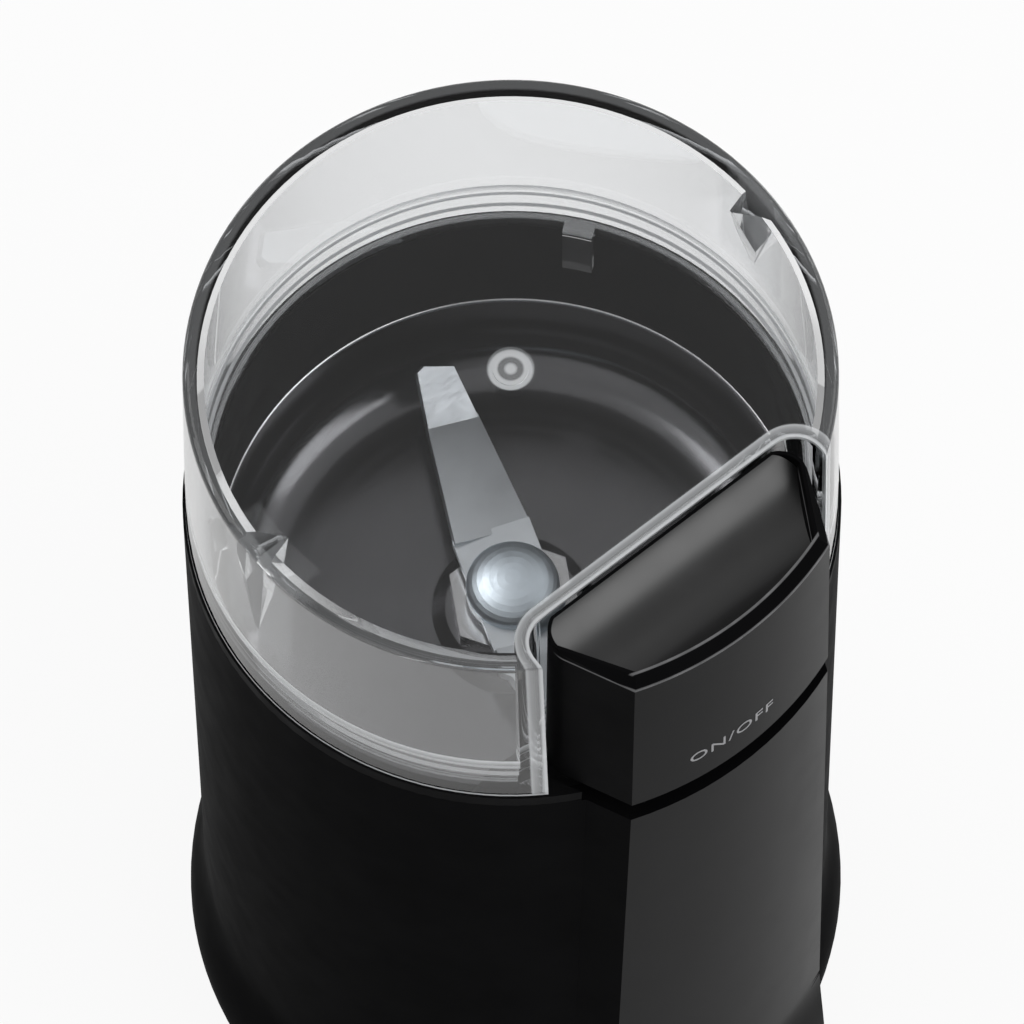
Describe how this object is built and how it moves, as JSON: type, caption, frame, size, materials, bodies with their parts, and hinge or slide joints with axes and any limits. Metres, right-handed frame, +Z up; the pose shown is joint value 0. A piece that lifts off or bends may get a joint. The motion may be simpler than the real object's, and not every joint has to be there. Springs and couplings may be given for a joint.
{
  "type": "electric spice grinder",
  "caption": "Upright electric spice and coffee grinder: clear lid, push button set into the lid's edge, steel bowl with a two-arm blade, motor inside a black casing.",
  "frame": {"origin": "on the table under the bowl's axis, which is the blade's and the motor's axis too", "axes": "+Z up along the blade's axis; -Y towards the push button, +Y towards the cord inlet; +X to the right as seen from the button"},
  "size_m": [0.1018, 0.1083, 0.198],
  "materials": {
    "clear_lid": "clear, polished",
    "button_black": "satin",
    "housing_black": "satin",
    "collar_black": "satin",
    "base_black": "fine grain",
    "bowl_steel": "brushed",
    "blade_steel": "ground",
    "blade_nut_metal": "polished",
    "bright_steel": "bright",
    "spring_steel": "bright",
    "zinc_screw": "zinc plated",
    "seal_rubber": "matt",
    "foot_rubber": "matt",
    "switch_case": "matt",
    "plunger_red": "smooth",
    "slider_white": "matt",
    "lamination": "stacked sheet edges",
    "winding": "varnished copper wire",
    "commutator_copper": "turned copper",
    "fan_white": "matt",
    "bracket_metal": "die cast",
    "bronze": "sintered bronze",
    "brush_board": "phenolic board",
    "holder_brass": "stamped",
    "carbon": "pressed carbon",
    "cutout_white": "matt",
    "capacitor_yellow": "smooth",
    "terminal_white": "matt",
    "lead_brown": "smooth",
    "lead_blue": "smooth",
    "lead_red": "smooth"
  },
  "bodies": {
    "casing": {"button_spring_left": "spring_steel", "button_spring_right": "spring_steel", "bowl_collar": "collar_black", "collar_seal": "seal_rubber", "grinding_bowl": "bowl_steel", "bowl_gasket": "seal_rubber", "bowl_nut": "bright_steel", "shaft_seal": "seal_rubber", "main_switch": "switch_case", "lid_switch": "switch_case", "switch_screws": "zinc_screw", "interlock_spring": "spring_steel", "stator_core": "lamination", "field_coil_left": "winding", "field_coil_right": "winding", "upper_bracket": "bracket_metal", "lower_bracket": "bracket_metal", "upper_bearing": "bronze", "lower_bearing": "bronze", "bearing_clips": "bright_steel", "brush_plate": "brush_board", "brush_plate_screws": "zinc_screw", "brush_holder_left": "holder_brass", "brush_holder_right": "holder_brass", "carbon_brush_left": "carbon", "carbon_brush_right": "carbon", "brush_spring_left": "spring_steel", "brush_spring_right": "spring_steel", "motor_bolts": "zinc_screw", "motor_nuts": "zinc_screw", "motor_dampers": "seal_rubber", "damper_screws": "zinc_screw", "thermal_cutout": "cutout_white", "suppressor": "capacitor_yellow", "terminal_block": "terminal_white", "supply_leads": "lead_brown", "switch_leads": "lead_blue", "motor_leads": "lead_red", "housing": "housing_black", "base_plate": "base_black", "base_screws": "zinc_screw", "rubber_feet": "foot_rubber", "cord_inlet": "seal_rubber", "cord_clamp": "base_black", "clamp_screws": "zinc_screw"},
    "lid": {"lid": "clear_lid"},
    "button": {"button_cap": "button_black"},
    "main_plunger": {"main_switch_plunger": "plunger_red"},
    "slider": {"interlock_slider": "slider_white"},
    "lid_plunger": {"lid_switch_plunger": "plunger_red"},
    "rotor": {"motor_shaft": "bright_steel", "armature_core": "lamination", "armature_winding": "winding", "commutator": "commutator_copper", "cooling_fan": "fan_white", "blade": "blade_steel", "blade_washer": "bright_steel", "blade_nut": "blade_nut_metal"}
  },
  "joints": [
    {"name": "lid_lift", "type": "slide", "parent": "casing", "child": "lid", "axis": [0, 0, 1], "range_m": [0, 0.06]},
    {"name": "button_press", "type": "slide", "parent": "casing", "child": "button", "axis": [0, 0, -1], "range_m": [0, 0.004], "stiffness_N_per_m": 900, "springref_m": -0.003, "deforming": ["button_spring_left", "button_spring_right"]},
    {"name": "main_plunger_press", "type": "slide", "parent": "casing", "child": "main_plunger", "axis": [0, 0, -1], "range_m": [0, 0.004]},
    {"name": "slider_rise", "type": "slide", "parent": "casing", "child": "slider", "axis": [0, 0, 1], "range_m": [0, 0.002], "deforming": ["interlock_spring"]},
    {"name": "lid_plunger_rise", "type": "slide", "parent": "casing", "child": "lid_plunger", "axis": [0, 0, 1], "range_m": [0, 0.002]},
    {"name": "blade_spin", "type": "hinge", "parent": "casing", "child": "rotor", "pos_m": [0, 0, 0.1224], "axis": [0, 0, 1], "continuous": true}
  ],
  "couplings": [
    {"joint": "main_plunger_press", "follows": "button_press", "ratio": 1},
    {"joint": "slider_rise", "follows": "lid_lift", "ratio": 0.0333},
    {"joint": "lid_plunger_rise", "follows": "lid_lift", "ratio": 0.0333}
  ]
}
